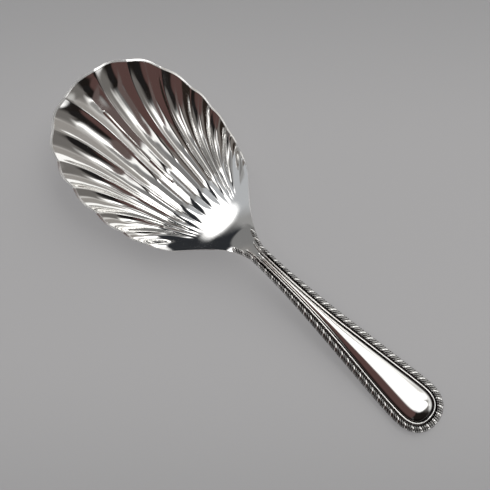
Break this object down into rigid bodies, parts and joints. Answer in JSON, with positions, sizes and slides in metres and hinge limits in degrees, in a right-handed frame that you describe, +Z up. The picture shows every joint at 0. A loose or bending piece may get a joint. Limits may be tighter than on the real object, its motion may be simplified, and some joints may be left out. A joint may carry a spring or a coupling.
{
  "type": "caddy spoon",
  "caption": "Silver caddy spoon with a fluted scallop shell bowl and a short tapered handle edged by a thread and a gadroon border.",
  "frame": {"origin": "centre of the bounding box in X and Y, on the table that the bowl's underside and the handle's tip rest on", "axes": "+X along the spoon from the bowl towards the handle's tip, +Y across it, +Z up out of the open bowl"},
  "size_m": [0.105, 0.0356, 0.0119],
  "materials": {
    "polished_silver": "hand-polished sterling silver, mirror bright with fine wiping marks",
    "border_silver": "polished sterling silver, a little darker in the grooves between the lobes"
  },
  "bodies": {
    "root": {"bowl": "polished_silver", "handle_stem": "polished_silver", "heel_plate": "polished_silver", "thread_wire": "polished_silver", "gadroon_border_left": "border_silver", "gadroon_border_right": "border_silver"}
  },
  "joints": []
}
